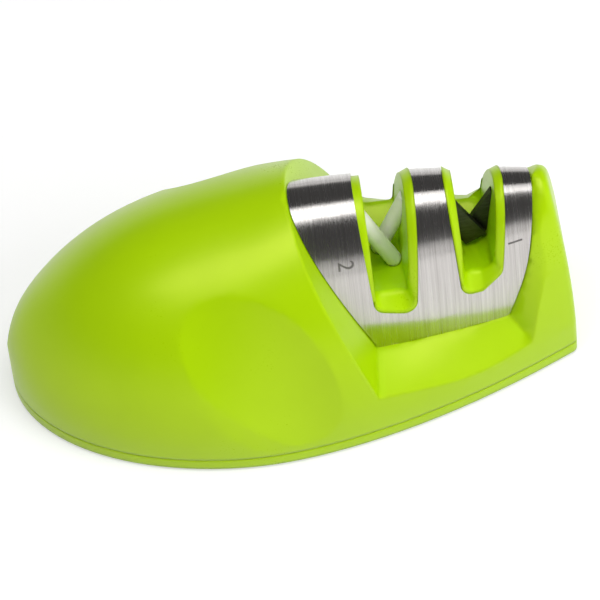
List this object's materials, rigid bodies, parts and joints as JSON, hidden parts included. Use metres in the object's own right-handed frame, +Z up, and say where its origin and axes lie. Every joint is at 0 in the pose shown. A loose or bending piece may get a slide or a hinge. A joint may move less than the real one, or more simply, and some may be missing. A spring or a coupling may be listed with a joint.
{
  "type": "pull-through knife sharpener",
  "caption": "Mouse-shaped hand-held knife sharpener with a steel saddle over two slots, ceramic rods in one and carbide plates in the other.",
  "frame": {"origin": "on the resting surface, under the middle of the object's length and width", "axes": "+X along the length towards the slots, +Y across the width, +Z up"},
  "size_m": [0.1196, 0.0646, 0.0471],
  "materials": {
    "lime_plastic": "satin gloss",
    "steel": "brushed",
    "base_plastic": "satin gloss",
    "pad_rubber": "matt",
    "inner_plastic": "matt",
    "ceramic": "fine ceramic",
    "carbide": "ground",
    "screw_steel": "zinc plated"
  },
  "bodies": {
    "root": {"housing": "lime_plastic", "steel_cover": "steel", "base_plate": "base_plastic", "rear_pad": "pad_rubber", "front_pad": "pad_rubber", "cartridge_near": "inner_plastic", "cartridge_far": "inner_plastic", "ceramic_rod_near": "ceramic", "ceramic_rod_far": "ceramic", "carbide_plate_near": "carbide", "carbide_plate_far": "carbide", "cartridge_clamp_screws": "screw_steel", "cartridge_fixing_screws": "screw_steel", "base_screws": "screw_steel"}
  },
  "joints": []
}
